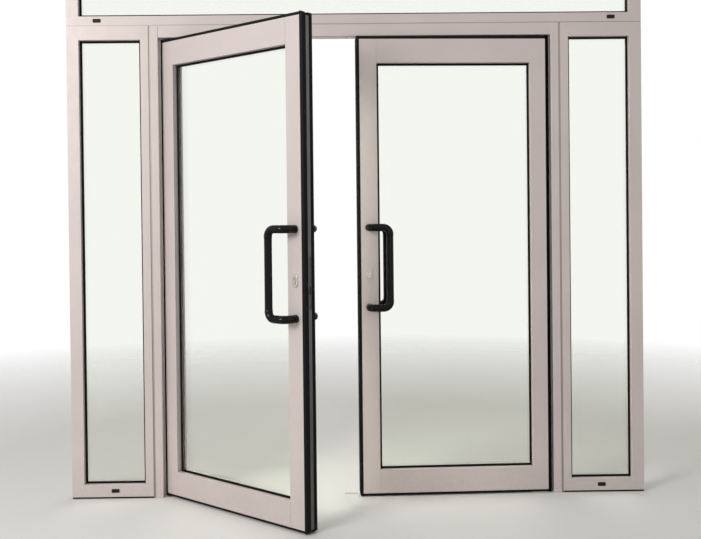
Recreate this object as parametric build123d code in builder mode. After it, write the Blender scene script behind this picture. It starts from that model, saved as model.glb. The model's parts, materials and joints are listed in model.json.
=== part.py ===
from build123d import *
import os

# Glass entrance door: two centre-hung swing leaves in a glazed aluminium screen.
# Millimetres. X runs across the doorway from its middle, Y from the front faces
# of the frame into the building, and Z up from the finished floor.

os.makedirs("parts", exist_ok=True)

# Aluminium profiles
depth = 65.0
wall = 2.2
face_radius = 1.5
mid_depth = depth / 2

# Doorway and its frame
doorway_width = 1816.0
doorway_height = 2130.0
jamb_face = 35.0
head_face = 55.0

# Side lights
coupling_width = 10.0
coupling_recess = 4.0
side_inner_face = 37.0
side_glass_width = 283.0
side_outer_face = 56.0
side_head_face = 64.0
side_sill_face = 57.0
base_strip_height = 8.0
base_strip_inset = 5.0

# Fanlight
transom_joint = 4.0
transom_recess = 1.5
fan_sill_face = 42.0
fan_glass_height = 312.0
fan_head_face = 57.0

# Glazing: the rebate behind the front flange, and what is clamped in it
flange_depth = 23.0
rebate = 22.0
joint_gap = 0.3
outer_gasket = 4.0
pane = 6.0
cavity = 12.0
inner_gasket = 3.0
glass_edge_gap = 5.0
gasket_sight = 10.0
gasket_slope = 3.0
inner_sight = 4.0
inner_cover = 8.0
spacer_height = 9.0
spacer_inset = 3.0
bead_wall = 1.6
bead_slope = 3.0
block_length = 100.0

# Leaves, closed
pivot_setback = 60.0
hinge_side_gap = 27.0
meeting_gap = 36.0
leaf_top_gap = 19.0
leaf_bottom = 16.0
hinge_stile_face = 72.0
lock_stile_face = 79.0
top_rail_face = 110.0
bottom_rail_face = 108.0

# How far each leaf stands open at rest, towards the front
left_open = 40.0
right_open = 2.0

# Black edges of the leaves
guard_clearance = 5.0
guard_wall = 3.0
lip_depth = 20.5
lip_radius = 8.0
lip_inset = 0.5
lock_lip_gap = 1.5
top_lip_gap = 4.0
bottom_lip_gap = 4.0
nose_gap = 5.5
nose_thick = 22.0
strip_thick = 2.0

# Pull handles
pull_diameter = 34.0
pull_grip_diameter = 32.4
pull_sleeve = 38.0
pull_spacing = 366.0
pull_above_lock = 20.0
pull_offset = 92.0
pull_standoff = 64.0
pull_bend = 30.0
pull_bolt_diameter = 8.0
pull_bolt_grip = 25.0
bolt_hole_clearance = 0.25

# Lock
lock_height = 1041.0
cylinder_inset = 35.0
lock_case_thick = 16.0
lock_case_above = 70.0
lock_case_below = 105.0
case_clearance = 0.3
forend_width = 16.0
forend_margin = 22.0
forend_clearance = 0.1
cylinder_radius = 8.5
cylinder_tail_width = 10.0
cylinder_tail_length = 24.5
cylinder_proud = 2.0
cylinder_clearance = 0.3
plug_radius = 6.5
plug_clearance = 0.05
cam_width = 9.8
cam_slot = 10.4
cam_reach = 13.5
cam_room = 15.0
keyway_width = 1.6
keyway_height = 8.0
keyway_depth = 9.0
escutcheon_width = 28.0
escutcheon_height = 54.0
escutcheon_thick = 6.0
escutcheon_edge = 2.0

# Dead bolt of the right leaf
bolt_thick = 11.0
bolt_tall = 32.0
bolt_length = 58.0
bolt_drop = 48.0
bolt_edge = 1.0
slide_clearance = 0.3

# Bolt rods of the left leaf
rod_diameter = 10.0
rod_setback = 38.0
rod_proud = 5.0
rod_case_entry = 30.0
rod_tip = 1.2
keep_length = 60.0
keep_width = 18.0
keep_thick = 1.5
keep_clearance = 0.8

# Pivots and closers
pivot_diameter = 16.0
pivot_clearance = 0.05
pivot_block_height = 44.0
seat_clearance = 0.1
floor_plate_length = 84.0
floor_plate_width = 46.0
floor_plate_thick = 2.5
floor_pin_top = 48.0
spindle_rise = 44.0
spindle_hole = 22.0
closer_length = 277.0
closer_depth = 36.0
closer_overhang = 40.0
closer_clearance = 0.3
spindle_embed = 14.0

# Drainage caps
cap_width = 36.0
cap_height = 17.0
cap_thick = 3.0
cap_radius = 4.0
cap_edge = 1.0
fan_cap_x = 1188.0
side_cap_x = 1130.0

# Wall fixings
fixing_diameter = 10.5
fixing_count = 4
lowest_fixing = 300.0
highest_fixing_drop = 85.0

# Places worked out from the sizes above
half_doorway = doorway_width / 2
lower_height = doorway_height + head_face
side_start = half_doorway + jamb_face + coupling_width
side_glass_start = side_start + side_inner_face
side_glass_end = side_glass_start + side_glass_width
half_width = side_glass_end + side_outer_face
side_glass_bottom = base_strip_height + side_sill_face
side_glass_top = lower_height - side_head_face
fan_bottom = lower_height + transom_joint
fan_glass_bottom = fan_bottom + fan_sill_face
fan_glass_top = fan_glass_bottom + fan_glass_height
overall_height = fan_glass_top + fan_head_face
glass_front = flange_depth + outer_gasket
glass_thick = 2 * pane + cavity
bead_front = glass_front + glass_thick + inner_gasket
bead_depth = depth - bead_front

# Leaf places: u runs from the pivot axis towards the lock edge, v is the depth
pivot_x = half_doorway - pivot_setback
u_hinge = hinge_side_gap - pivot_setback
u_lock = pivot_x - meeting_gap / 2
u_glass_start = u_hinge + hinge_stile_face
u_glass_end = u_lock - lock_stile_face
u_nose = pivot_x - nose_gap
u_lips = pivot_x - lock_lip_gap
u_cylinder = u_lock - cylinder_inset
u_pull_end = u_cylinder
u_pull_grip = u_pull_end - pull_offset
u_rod = pivot_x - rod_setback
leaf_top = doorway_height - leaf_top_gap
leaf_glass_bottom = leaf_bottom + bottom_rail_face
leaf_glass_top = leaf_top - top_rail_face
lips_top = doorway_height - top_lip_gap
lips_bottom = bottom_lip_gap
spindle_top = doorway_height + spindle_rise
pull_height = lock_height + pull_above_lock
leaf_middle = (leaf_top + leaf_bottom) / 2
nose_start = mid_depth - nose_thick / 2
X_AXIS = Vector(1, 0, 0)
Y_AXIS = Vector(0, 1, 0)
Z_AXIS = Vector(0, 0, 1)


def save(part, name):
    """Label a finished piece and write its file."""
    part.label = name
    export_step(part, f"parts/{name}.step")


def profile_plane(corner, inward):
    """Plane of a bar's section: x towards the glass, y into the depth, normal along the bar."""
    return Plane(origin=corner, x_dir=inward, z_dir=inward.cross(Y_AXIS))


def glazed_profile(face):
    """Hollow section with a front flange, a glazing rebate behind it and two chambers."""
    body = face - rebate
    front_room = flange_depth - 2 * wall
    back_room = depth - flange_depth - wall
    with BuildSketch() as section:
        with BuildLine():
            Polyline(
                (0, 0),
                (face, 0),
                (face, flange_depth),
                (body, flange_depth),
                (body, depth),
                (0, depth),
                close=True,
            )
        make_face()
        front_corner = section.vertices().group_by(Axis.Y)[0].sort_by(Axis.X)[-1]
        back_corner = section.vertices().group_by(Axis.Y)[-1].sort_by(Axis.X)[-1]
        fillet([front_corner, back_corner], face_radius)
        with Locations((wall, wall)):
            Rectangle(face - 2 * wall, front_room, align=Align.MIN, mode=Mode.SUBTRACT)
        with Locations((wall, flange_depth)):
            Rectangle(body - 2 * wall, back_room, align=Align.MIN, mode=Mode.SUBTRACT)
    return section.sketch


def plain_profile(face):
    """Hollow box section of the door frame."""
    with BuildSketch() as section:
        Rectangle(face, depth, align=Align.MIN)
        fillet(section.vertices().group_by(Axis.X)[-1], 2 * face_radius)
        with Locations((wall, wall)):
            Rectangle(face - 2 * wall, depth - 2 * wall, align=Align.MIN, mode=Mode.SUBTRACT)
    return section.sketch


def lock_profile(face):
    """Glazed section whose outer edge carries a hollow nose between the two lip seals."""
    nose = u_nose - u_lock
    with BuildSketch() as section:
        add(glazed_profile(face))
        with Locations((-nose, nose_start)):
            Rectangle(nose, nose_thick, align=Align.MIN)
        with Locations((wall - nose, nose_start + wall)):
            Rectangle(nose - wall, nose_thick - 2 * wall, align=Align.MIN, mode=Mode.SUBTRACT)
    return section.sketch


def mitred_bar(section, corner, inward, length, face, start_face, end_face):
    """One side of a frame, cut at both ends through the outer and the sight corner."""
    plane = profile_plane(corner, inward)
    along = plane.z_dir
    far_corner = corner + along * length
    start_cut = Plane(origin=corner, z_dir=along * face - inward * start_face)
    end_cut = Plane(origin=far_corner, z_dir=along * -face - inward * end_face)
    with BuildPart() as bar:
        with BuildSketch(plane):
            add(section)
        extrude(amount=length)
        split(bisect_by=start_cut, keep=Keep.TOP)
        split(bisect_by=end_cut, keep=Keep.TOP)
    return bar


def straight_bar(section, middle, inward, length):
    """A square-cut bar, its section's origin running through the middle point."""
    with BuildPart() as bar:
        with BuildSketch(profile_plane(middle, inward)):
            add(section)
        extrude(amount=length / 2, both=True)
    return bar


def fixed_frame(low, high, faces):
    """Four mitred bars round a pane: low and high are its outer corners, faces its widths."""
    left, right, bottom, top = faces
    width = high.X - low.X
    height = high.Z - low.Z
    low_right = Vector(high.X, 0, low.Z)
    high_left = Vector(low.X, 0, high.Z)
    up = mitred_bar(glazed_profile(left), low, X_AXIS, height, left, bottom, top)
    down = mitred_bar(glazed_profile(right), high, -X_AXIS, height, right, top, bottom)
    sill = mitred_bar(glazed_profile(bottom), low_right, Z_AXIS, width, bottom, right, left)
    head = mitred_bar(glazed_profile(top), high_left, -Z_AXIS, width, top, left, right)
    return {"left": up, "right": down, "sill": sill, "head": head}


def drill_fixings(bar, x):
    """Evenly spaced holes for the wall fixings, straight through an outer upright bar."""
    highest = lower_height - highest_fixing_drop
    middle = Plane(origin=(x, (flange_depth + depth) / 2, (lowest_fixing + highest) / 2), z_dir=X_AXIS)
    pitch = (highest - lowest_fixing) / (fixing_count - 1)
    with BuildPart() as drilled:
        add(bar.part)
        with Locations(middle):
            with GridLocations(pitch, 0, fixing_count, 1):
                Cylinder(fixing_diameter / 2, 2 * side_outer_face, mode=Mode.SUBTRACT)
    return drilled


def ring(low, high, border, front, thick):
    """A flat upright rectangular ring: low and high are (x, z) corners of its opening."""
    width = high[0] - low[0]
    height = high[1] - low[1]
    middle = ((low[0] + high[0]) / 2, 0, (low[1] + high[1]) / 2)
    with BuildPart() as made:
        with BuildSketch(Plane(origin=middle, x_dir=X_AXIS, z_dir=-Y_AXIS).offset(-front)):
            Rectangle(width + 2 * border, height + 2 * border)
            Rectangle(width, height, mode=Mode.SUBTRACT)
        extrude(amount=-thick)
    return made


def glass_unit(low, high):
    """Two panes of an insulating unit that fills a sight opening and its rebate."""
    cover = rebate - glass_edge_gap
    width = high[0] - low[0] + 2 * cover
    height = high[1] - low[1] + 2 * cover
    x = (low[0] + high[0]) / 2
    z = (low[1] + high[1]) / 2
    with BuildPart() as panes:
        for front in (glass_front, glass_front + pane + cavity):
            with Locations((x, front + pane / 2, z)):
                Box(width, pane, height)
    return panes


def inside(edge, low, high):
    """Whether an edge's middle lies within a sight opening, seen from the front."""
    middle = edge.center()
    return low[0] < middle.X < high[0] and low[1] < middle.Z < high[1]


def glazing_seals(low, high):
    """Wide outer gasket, narrow inner gasket and setting blocks of one pane."""
    outer_low = (low[0] + gasket_sight, low[1] + gasket_sight)
    outer_high = (high[0] - gasket_sight, high[1] - gasket_sight)
    outer_grip = gasket_sight + rebate - glass_edge_gap
    inner_low = (low[0] + inner_sight, low[1] + inner_sight)
    inner_high = (high[0] - inner_sight, high[1] - inner_sight)
    inner_grip = inner_sight + inner_cover
    outer = ring(outer_low, outer_high, outer_grip, flange_depth, outer_gasket)
    inner = ring(inner_low, inner_high, inner_grip, glass_front + glass_thick, inner_gasket)
    quarter = (high[0] - low[0]) / 4
    with BuildPart() as seals:
        add(outer.part)
        front_edges = seals.edges().group_by(Axis.Y)[0]
        chamfer(front_edges.filter_by(lambda edge: inside(edge, low, high)), gasket_slope)
        add(inner.part)
        for x in (low[0] + quarter, high[0] - quarter):
            with Locations((x, glass_front + glass_thick / 2, low[1] - rebate + glass_edge_gap / 2)):
                Box(min(block_length, quarter), glass_thick, glass_edge_gap)
    return seals


def spacer_bar(low, high):
    """Aluminium bar that holds the two sheets of one pane apart, near their edge."""
    reach = rebate - glass_edge_gap - spacer_inset - spacer_height
    spacer_low = (low[0] - reach, low[1] - reach)
    spacer_high = (high[0] + reach, high[1] + reach)
    return ring(spacer_low, spacer_high, spacer_height, glass_front + pane, cavity)


def bead_profile():
    """Hollow snap-in bead: x from the rebate floor to the sight edge, y from gasket to back."""
    with BuildSketch() as section:
        with BuildLine():
            Polyline(
                (0, 0),
                (rebate, 0),
                (rebate, bead_depth - bead_slope),
                (rebate - bead_slope, bead_depth),
                (0, bead_depth),
                close=True,
            )
        make_face()
        offset(amount=-bead_wall, kind=Kind.INTERSECTION, mode=Mode.SUBTRACT)
    return section.sketch


def glazing_beads(low, high):
    """Beads behind one pane, the level ones running through, and the spacer bar inside it."""
    section = bead_profile()
    width = high[0] - low[0] + 2 * rebate
    height = high[1] - low[1] - 2 * joint_gap
    x = (low[0] + high[0]) / 2
    z = (low[1] + high[1]) / 2
    sides = (
        (Vector(x, bead_front, low[1] - rebate), Z_AXIS, width),
        (Vector(x, bead_front, high[1] + rebate), -Z_AXIS, width),
        (Vector(low[0] - rebate, bead_front, z), X_AXIS, height),
        (Vector(high[0] + rebate, bead_front, z), -X_AXIS, height),
    )
    bars = [straight_bar(section, middle, inward, length) for middle, inward, length in sides]
    with BuildPart() as beads:
        for bar in bars:
            add(bar.part)
        add(spacer_bar(low, high).part)
    return beads


def door_frame():
    """Two jambs from floor to transom and the head between them."""
    jamb = plain_profile(jamb_face)
    outer = half_doorway + jamb_face
    left = straight_bar(jamb, Vector(-outer, 0, lower_height / 2), X_AXIS, lower_height)
    right = straight_bar(jamb, Vector(outer, 0, lower_height / 2), -X_AXIS, lower_height)
    save(left.part, "jamb_left")
    save(right.part, "jamb_right")
    bar = straight_bar(plain_profile(head_face), Vector(0, 0, lower_height), -Z_AXIS, doorway_width)
    with BuildPart() as head:
        add(bar.part)
        with Locations((-pivot_x, mid_depth, doorway_height), (pivot_x, mid_depth, doorway_height)):
            Cylinder(spindle_hole / 2, 2 * wall, mode=Mode.SUBTRACT)
        with Locations((u_rod - pivot_x, mid_depth, doorway_height)):
            Cylinder(rod_diameter / 2 + keep_clearance, 2 * wall, mode=Mode.SUBTRACT)
    save(head.part, "door_head")


def side_light(hand):
    """Frame of one side light; its outer upright is drilled for the wall fixings."""
    sign = -1 if hand == "left" else 1
    outer_x = sign * half_width
    edges = sorted((outer_x, sign * side_start))
    low = Vector(edges[0], 0, base_strip_height)
    high = Vector(edges[1], 0, lower_height)
    if hand == "left":
        faces = (side_outer_face, side_inner_face, side_sill_face, side_head_face)
        outer, inner = "left", "right"
    else:
        faces = (side_inner_face, side_outer_face, side_sill_face, side_head_face)
        outer, inner = "right", "left"
    bars = fixed_frame(low, high, faces)
    save(drill_fixings(bars[outer], outer_x).part, f"side_{hand}_outer")
    save(bars[inner].part, f"side_{hand}_inner")
    save(bars["sill"].part, f"side_{hand}_sill")
    save(bars["head"].part, f"side_{hand}_head")


def fanlight():
    """Frame of the fanlight, over the door and both side lights."""
    low = Vector(-half_width, 0, fan_bottom)
    high = Vector(half_width, 0, overall_height)
    bars = fixed_frame(low, high, (side_outer_face, side_outer_face, fan_sill_face, fan_head_face))
    for side, bar in bars.items():
        save(bar.part, f"fan_{side}")


def fixed_openings():
    """Sight openings of the three fixed panes, as low and high (x, z) corners."""
    side_low = (side_glass_start, side_glass_bottom)
    side_high = (side_glass_end, side_glass_top)
    return {
        "side_left": ((-side_high[0], side_low[1]), (-side_low[0], side_high[1])),
        "side_right": (side_low, side_high),
        "fan": ((-side_glass_end, fan_glass_bottom), (side_glass_end, fan_glass_top)),
    }


def fixed_glazing():
    """Panes, beads and seals of the side lights and the fanlight."""
    openings = fixed_openings()
    for name, (low, high) in openings.items():
        save(glass_unit(low, high).part, f"glass_{name}")
        save(glazing_beads(low, high).part, f"beads_{name}")
    groups = [glazing_seals(low, high) for low, high in openings.values()]
    with BuildPart() as seals:
        for group in groups:
            add(group.part)
    save(seals.part, "seals_fixed")


def couplings():
    """Profiles in the grooves that join the four frames."""
    groove_x = half_doorway + jamb_face + coupling_width / 2
    with BuildPart() as profiles:
        for x in (-groove_x, groove_x):
            with Locations((x, mid_depth, 0)):
                Box(
                    coupling_width,
                    depth - 2 * coupling_recess,
                    lower_height - joint_gap,
                    align=(Align.CENTER, Align.CENTER, Align.MIN),
                )
        with Locations((0, mid_depth, lower_height + transom_joint / 2)):
            Box(2 * half_width, depth - 2 * transom_recess, transom_joint)
    save(profiles.part, "coupling_profiles")


def base_strips():
    """Bedding strips between the side light sills and the floor."""
    length = half_width - side_start
    x = (half_width + side_start) / 2
    with BuildPart() as strips:
        with Locations((-x, mid_depth, base_strip_height / 2), (x, mid_depth, base_strip_height / 2)):
            Box(length, depth - 2 * base_strip_inset, base_strip_height)
    save(strips.part, "base_strips")


def drain_caps():
    """Hooded caps over the drainage slots of the three sills."""
    fan_z = (fan_bottom + fan_glass_bottom) / 2
    side_z = (base_strip_height + side_glass_bottom) / 2
    places = [(x, fan_z) for x in (-fan_cap_x, fan_cap_x)] + [(x, side_z) for x in (-side_cap_x, side_cap_x)]
    with BuildPart() as caps:
        with BuildSketch(Plane.XZ):
            with Locations(*places):
                RectangleRounded(cap_width, cap_height, cap_radius)
        extrude(amount=cap_thick)
        fillet(caps.edges().group_by(Axis.Y)[0], cap_edge)
    save(caps.part, "drain_caps")


def closers():
    """Concealed closers in the head, each with the bore that takes its leaf's spindle."""
    floor = doorway_height + wall + closer_clearance
    height = lower_height - wall - closer_clearance - floor
    with BuildPart() as bodies:
        for sign in (-1, 1):
            x = sign * (pivot_x + closer_overhang - closer_length / 2)
            with Locations((x, mid_depth, floor + height / 2)):
                Box(closer_length, closer_depth, height)
            with Locations((sign * pivot_x, mid_depth, floor)):
                Cylinder(
                    pivot_diameter / 2 + pivot_clearance,
                    spindle_top + closer_clearance - floor,
                    align=(Align.CENTER, Align.CENTER, Align.MIN),
                    mode=Mode.SUBTRACT,
                )
    save(bodies.part, "head_closers")


def floor_and_keep_plates():
    """Pivot plates with their pins on the floor, and the bolt rods' keeps above and below."""
    keep_x = u_rod - pivot_x
    upright = (Align.CENTER, Align.CENTER, Align.MIN)
    with BuildPart() as plates:
        with Locations((-pivot_x, mid_depth, 0), (pivot_x, mid_depth, 0)):
            Box(floor_plate_length, floor_plate_width, floor_plate_thick, align=upright)
            Cylinder(pivot_diameter / 2, floor_pin_top, align=upright)
        with Locations((keep_x, mid_depth, 0), (keep_x, mid_depth, doorway_height - keep_thick)):
            Box(keep_length, keep_width, keep_thick, align=upright)
            Cylinder(rod_diameter / 2 + keep_clearance, keep_thick, align=upright, mode=Mode.SUBTRACT)
    save(plates.part, "pivot_and_keep_plates")


def hang(part, hand):
    """Move a piece made in leaf coordinates to its leaf, standing open as at rest."""
    if hand == "left":
        return Pos(-pivot_x, mid_depth, 0) * Rot(0, 0, -left_open) * Pos(0, -mid_depth, 0) * part
    turned = mirror(part, about=Plane.YZ)
    return Pos(pivot_x, mid_depth, 0) * Rot(0, 0, right_open) * Pos(0, -mid_depth, 0) * turned


def cylinder_outline(clearance):
    """Outline of a profile cylinder: the round barrel and its narrow tail."""
    with BuildSketch() as outline:
        Circle(cylinder_radius + clearance)
        with Locations((0, (cylinder_tail_width / 2 - cylinder_tail_length) / 2)):
            Rectangle(cylinder_tail_width + 2 * clearance, cylinder_tail_length - cylinder_tail_width / 2)
        with Locations((0, cylinder_tail_width / 2 - cylinder_tail_length)):
            Circle(cylinder_tail_width / 2 + clearance)
    return outline.sketch


def cylinder_plane():
    """Upright plane across the lock's cylinder, in the middle of the leaf's depth."""
    return Plane(origin=(u_cylinder, mid_depth, lock_height), x_dir=X_AXIS, z_dir=-Y_AXIS)


def pull_heights():
    """Heights of the two legs of a pull handle."""
    return (pull_height - pull_spacing / 2, pull_height + pull_spacing / 2)


def hinge_stile():
    """Stile at the pivots."""
    height = leaf_top - leaf_bottom
    return straight_bar(glazed_profile(hinge_stile_face), Vector(u_hinge, 0, leaf_middle), X_AXIS, height)


def lock_stile():
    """Stile with the lock: bored for the cylinder and pull bolts, slotted for forend and bolt."""
    height = leaf_top - leaf_bottom
    bar = straight_bar(lock_profile(lock_stile_face), Vector(u_lock, 0, leaf_middle), -X_AXIS, height)
    bolt_z = lock_height - bolt_drop
    case_z = lock_height + (lock_case_above - lock_case_below) / 2
    forend_length = lock_case_above + lock_case_below + 2 * forend_margin
    with BuildPart() as stile:
        add(bar.part)
        with BuildSketch(cylinder_plane()):
            add(cylinder_outline(cylinder_clearance))
        extrude(amount=depth, both=True, mode=Mode.SUBTRACT)
        for z in pull_heights():
            with Locations(Plane(origin=(u_pull_end, mid_depth, z), z_dir=Y_AXIS)):
                Cylinder(pull_bolt_diameter / 2 + bolt_hole_clearance, 2 * depth, mode=Mode.SUBTRACT)
        with Locations((u_nose, mid_depth, case_z)):
            Box(
                2 * wall,
                forend_width + 2 * forend_clearance,
                forend_length + 2 * forend_clearance,
                mode=Mode.SUBTRACT,
            )
        with Locations((u_lock, mid_depth, bolt_z)):
            Box(
                4 * wall,
                bolt_thick + 2 * slide_clearance,
                bolt_tall + 2 * slide_clearance,
                mode=Mode.SUBTRACT,
            )
    return stile


def rail(edge_z, inward, face):
    """Level member: its body reaches the stiles' rebates, its front flange only their sight edges."""
    start = u_glass_start - rebate
    end = u_glass_end + rebate
    bar = straight_bar(glazed_profile(face), Vector((start + end) / 2, 0, edge_z), inward, end - start)
    with BuildPart() as made:
        add(bar.part)
        for x in (start, end):
            with Locations((x, flange_depth / 2, edge_z)):
                Box(2 * rebate, flange_depth, 2 * face, mode=Mode.SUBTRACT)
    return made


def hinge_guard():
    """Black hollow profile on the hinge edge, rounded about the pivot so that no finger is caught."""
    radius = pivot_setback - guard_clearance
    half = mid_depth - lip_inset
    corner = -((radius**2 - half**2) ** 0.5)
    with BuildPart() as guard:
        with BuildSketch(Plane.XY.offset(lips_bottom)):
            with BuildLine():
                Polyline(
                    (corner, lip_inset),
                    (u_hinge, lip_inset),
                    (u_hinge, depth - lip_inset),
                    (corner, depth - lip_inset),
                )
                ThreePointArc((corner, lip_inset), (-radius, mid_depth), (corner, depth - lip_inset))
            make_face()
            offset(amount=-guard_wall, mode=Mode.SUBTRACT)
        extrude(amount=lips_top - lips_bottom)
    return guard


def lip_profile(reach, at_back):
    """Section of a lip seal on the front or back half of a leaf's edge, outer corner rounded."""
    start = depth - lip_inset - lip_depth if at_back else lip_inset
    with BuildSketch() as section:
        with Locations((0, start)):
            Rectangle(reach, lip_depth, align=Align.MIN)
        tip = section.vertices().group_by(Axis.X)[-1].sort_by(Axis.Y)
        fillet(tip[-1] if at_back else tip[0], lip_radius)
    return section.sketch


def lip_seals():
    """Pairs of black lips along three edges of a leaf, and the flat strips between the lock lips."""
    forend_low = lock_height - lock_case_below - forend_margin - forend_clearance
    forend_high = lock_height + lock_case_above + forend_margin + forend_clearance
    u_middle = (u_hinge + u_lock) / 2
    level_length = u_lock - u_hinge - 2 * joint_gap
    runs = (
        (Vector(u_lock, 0, (lips_top + lips_bottom) / 2), X_AXIS, lips_top - lips_bottom, u_lips - u_lock),
        (Vector(u_middle, 0, leaf_top), Z_AXIS, level_length, lips_top - leaf_top),
        (Vector(u_middle, 0, leaf_bottom), -Z_AXIS, level_length, leaf_bottom - lips_bottom),
    )
    lips = [
        straight_bar(lip_profile(reach, at_back), middle, outward, length)
        for middle, outward, length, reach in runs
        for at_back in (False, True)
    ]
    with BuildPart() as seals:
        for lip in lips:
            add(lip.part)
        for low, high in ((leaf_bottom, forend_low), (forend_high, leaf_top)):
            with Locations((u_nose + strip_thick / 2, mid_depth, (low + high) / 2)):
                Box(strip_thick, nose_thick, high - low)
    return seals


def pull_elbow(z, towards_grip):
    """Moulded elbow of a pull: out from the leaf, across, and down or up into the sleeve."""
    out = -pull_standoff
    with BuildPart() as elbow:
        with BuildLine():
            FilletPolyline(
                (u_pull_end, 0, z),
                (u_pull_end, out, z),
                (u_pull_grip, out, z),
                (u_pull_grip, out, z + towards_grip * pull_sleeve),
                radius=pull_bend,
            )
        with BuildSketch(Plane(origin=(u_pull_end, 0, z), z_dir=-Y_AXIS)):
            Circle(pull_diameter / 2)
        sweep()
    return elbow


def pulls():
    """Cranked pull handle outside and inside, with the bolts that clamp the pair."""
    low, high = pull_heights()
    bore = pull_bolt_diameter / 2 + bolt_hole_clearance
    elbows = (pull_elbow(low, 1), pull_elbow(high, -1))
    with BuildPart() as handle:
        for elbow in elbows:
            add(elbow.part)
        with Locations((u_pull_grip, -pull_standoff, pull_height)):
            Cylinder(pull_grip_diameter / 2, pull_spacing - 2 * pull_sleeve)
        for z in (low, high):
            with Locations(Plane(origin=(u_pull_end, 0, z), z_dir=Y_AXIS)):
                Cylinder(bore, 2 * (pull_bolt_grip + bolt_hole_clearance), mode=Mode.SUBTRACT)
    inside = mirror(handle.part, about=Plane.XZ.offset(-mid_depth))
    with BuildPart() as pair:
        add(handle.part)
        add(inside)
        for z in (low, high):
            with Locations(Plane(origin=(u_pull_end, mid_depth, z), z_dir=Y_AXIS)):
                Cylinder(pull_bolt_diameter / 2, depth + 2 * pull_bolt_grip)
    return pair


def lock_case():
    """Mortise case in the lock stile's chamber and the forend plate in its nose."""
    back = u_glass_end + rebate + wall + case_clearance
    front = u_lock - wall - case_clearance
    bottom = lock_height - lock_case_below
    top = lock_height + lock_case_above
    bolt_back = u_nose - bolt_length - 2 * slide_clearance
    bolt_z = lock_height - bolt_drop
    rod_bore = rod_diameter / 2 + slide_clearance
    with BuildPart() as case:
        with Locations(((back + front) / 2, mid_depth, (bottom + top) / 2)):
            Box(front - back, lock_case_thick, top - bottom)
        with BuildSketch(cylinder_plane()):
            add(cylinder_outline(cylinder_clearance))
        extrude(amount=lock_case_thick, both=True, mode=Mode.SUBTRACT)
        with Locations(Plane(origin=(u_cylinder, mid_depth, lock_height), z_dir=Y_AXIS)):
            Cylinder(cam_room, cam_slot, mode=Mode.SUBTRACT)
        with Locations((bolt_back, mid_depth, bolt_z)):
            Box(
                front - bolt_back,
                bolt_thick + 2 * slide_clearance,
                bolt_tall + 2 * slide_clearance,
                align=(Align.MIN, Align.CENTER, Align.CENTER),
                mode=Mode.SUBTRACT,
            )
        with Locations((u_rod, mid_depth, bottom), (u_rod, mid_depth, top)):
            Cylinder(rod_bore, 2 * (rod_case_entry + slide_clearance), mode=Mode.SUBTRACT)
        with Locations((u_nose - wall / 2, mid_depth, (bottom + top) / 2)):
            Box(wall, forend_width, top - bottom + 2 * forend_margin)
        with Locations((u_nose, mid_depth, bolt_z)):
            Box(
                2 * wall,
                bolt_thick + 2 * slide_clearance,
                bolt_tall + 2 * slide_clearance,
                mode=Mode.SUBTRACT,
            )
    return case


def cylinder():
    """Profile cylinder through the stile, bored for its plug and slotted for the cam."""
    with BuildPart() as body:
        with BuildSketch(cylinder_plane()):
            add(cylinder_outline(0))
        extrude(amount=mid_depth + escutcheon_thick + cylinder_proud, both=True)
        with Locations(Plane(origin=(u_cylinder, mid_depth, lock_height), z_dir=Y_AXIS)):
            Cylinder(plug_radius + plug_clearance, 4 * depth, mode=Mode.SUBTRACT)
            Cylinder(cam_room, cam_slot, mode=Mode.SUBTRACT)
    return body


def key_plug():
    """Plug of the cylinder with its cam in the middle and a keyway at both ends."""
    half = mid_depth + escutcheon_thick + cylinder_proud
    with BuildPart() as plug:
        with Locations(Plane(origin=(u_cylinder, mid_depth, lock_height), z_dir=Y_AXIS)):
            Cylinder(plug_radius, 2 * half)
            Cylinder(cylinder_radius, cam_width)
        with Locations((u_cylinder, mid_depth, lock_height)):
            Box(plug_radius, cam_width, cam_reach, align=(Align.CENTER, Align.CENTER, Align.MAX))
        for face in (mid_depth - half, mid_depth + half):
            with Locations((u_cylinder, face, lock_height)):
                Box(keyway_width, 2 * keyway_depth, keyway_height, mode=Mode.SUBTRACT)
    return plug


def escutcheons():
    """Oval plates round the cylinder on both faces of the stile."""
    middle = (cylinder_radius - cylinder_tail_length) / 2
    with BuildPart() as plates:
        for face, side in ((0, 1), (depth, -1)):
            plane = Plane(origin=(u_cylinder, face, lock_height + middle), x_dir=X_AXIS, z_dir=-Y_AXIS)
            with BuildSketch(plane):
                SlotOverall(escutcheon_height, escutcheon_width, rotation=90)
            extrude(amount=side * escutcheon_thick)
        fillet(plates.edges().group_by(Axis.Y)[0] + plates.edges().group_by(Axis.Y)[-1], escutcheon_edge)
        with BuildSketch(cylinder_plane()):
            add(cylinder_outline(cylinder_clearance))
        extrude(amount=2 * depth, both=True, mode=Mode.SUBTRACT)
    return plates


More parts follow.
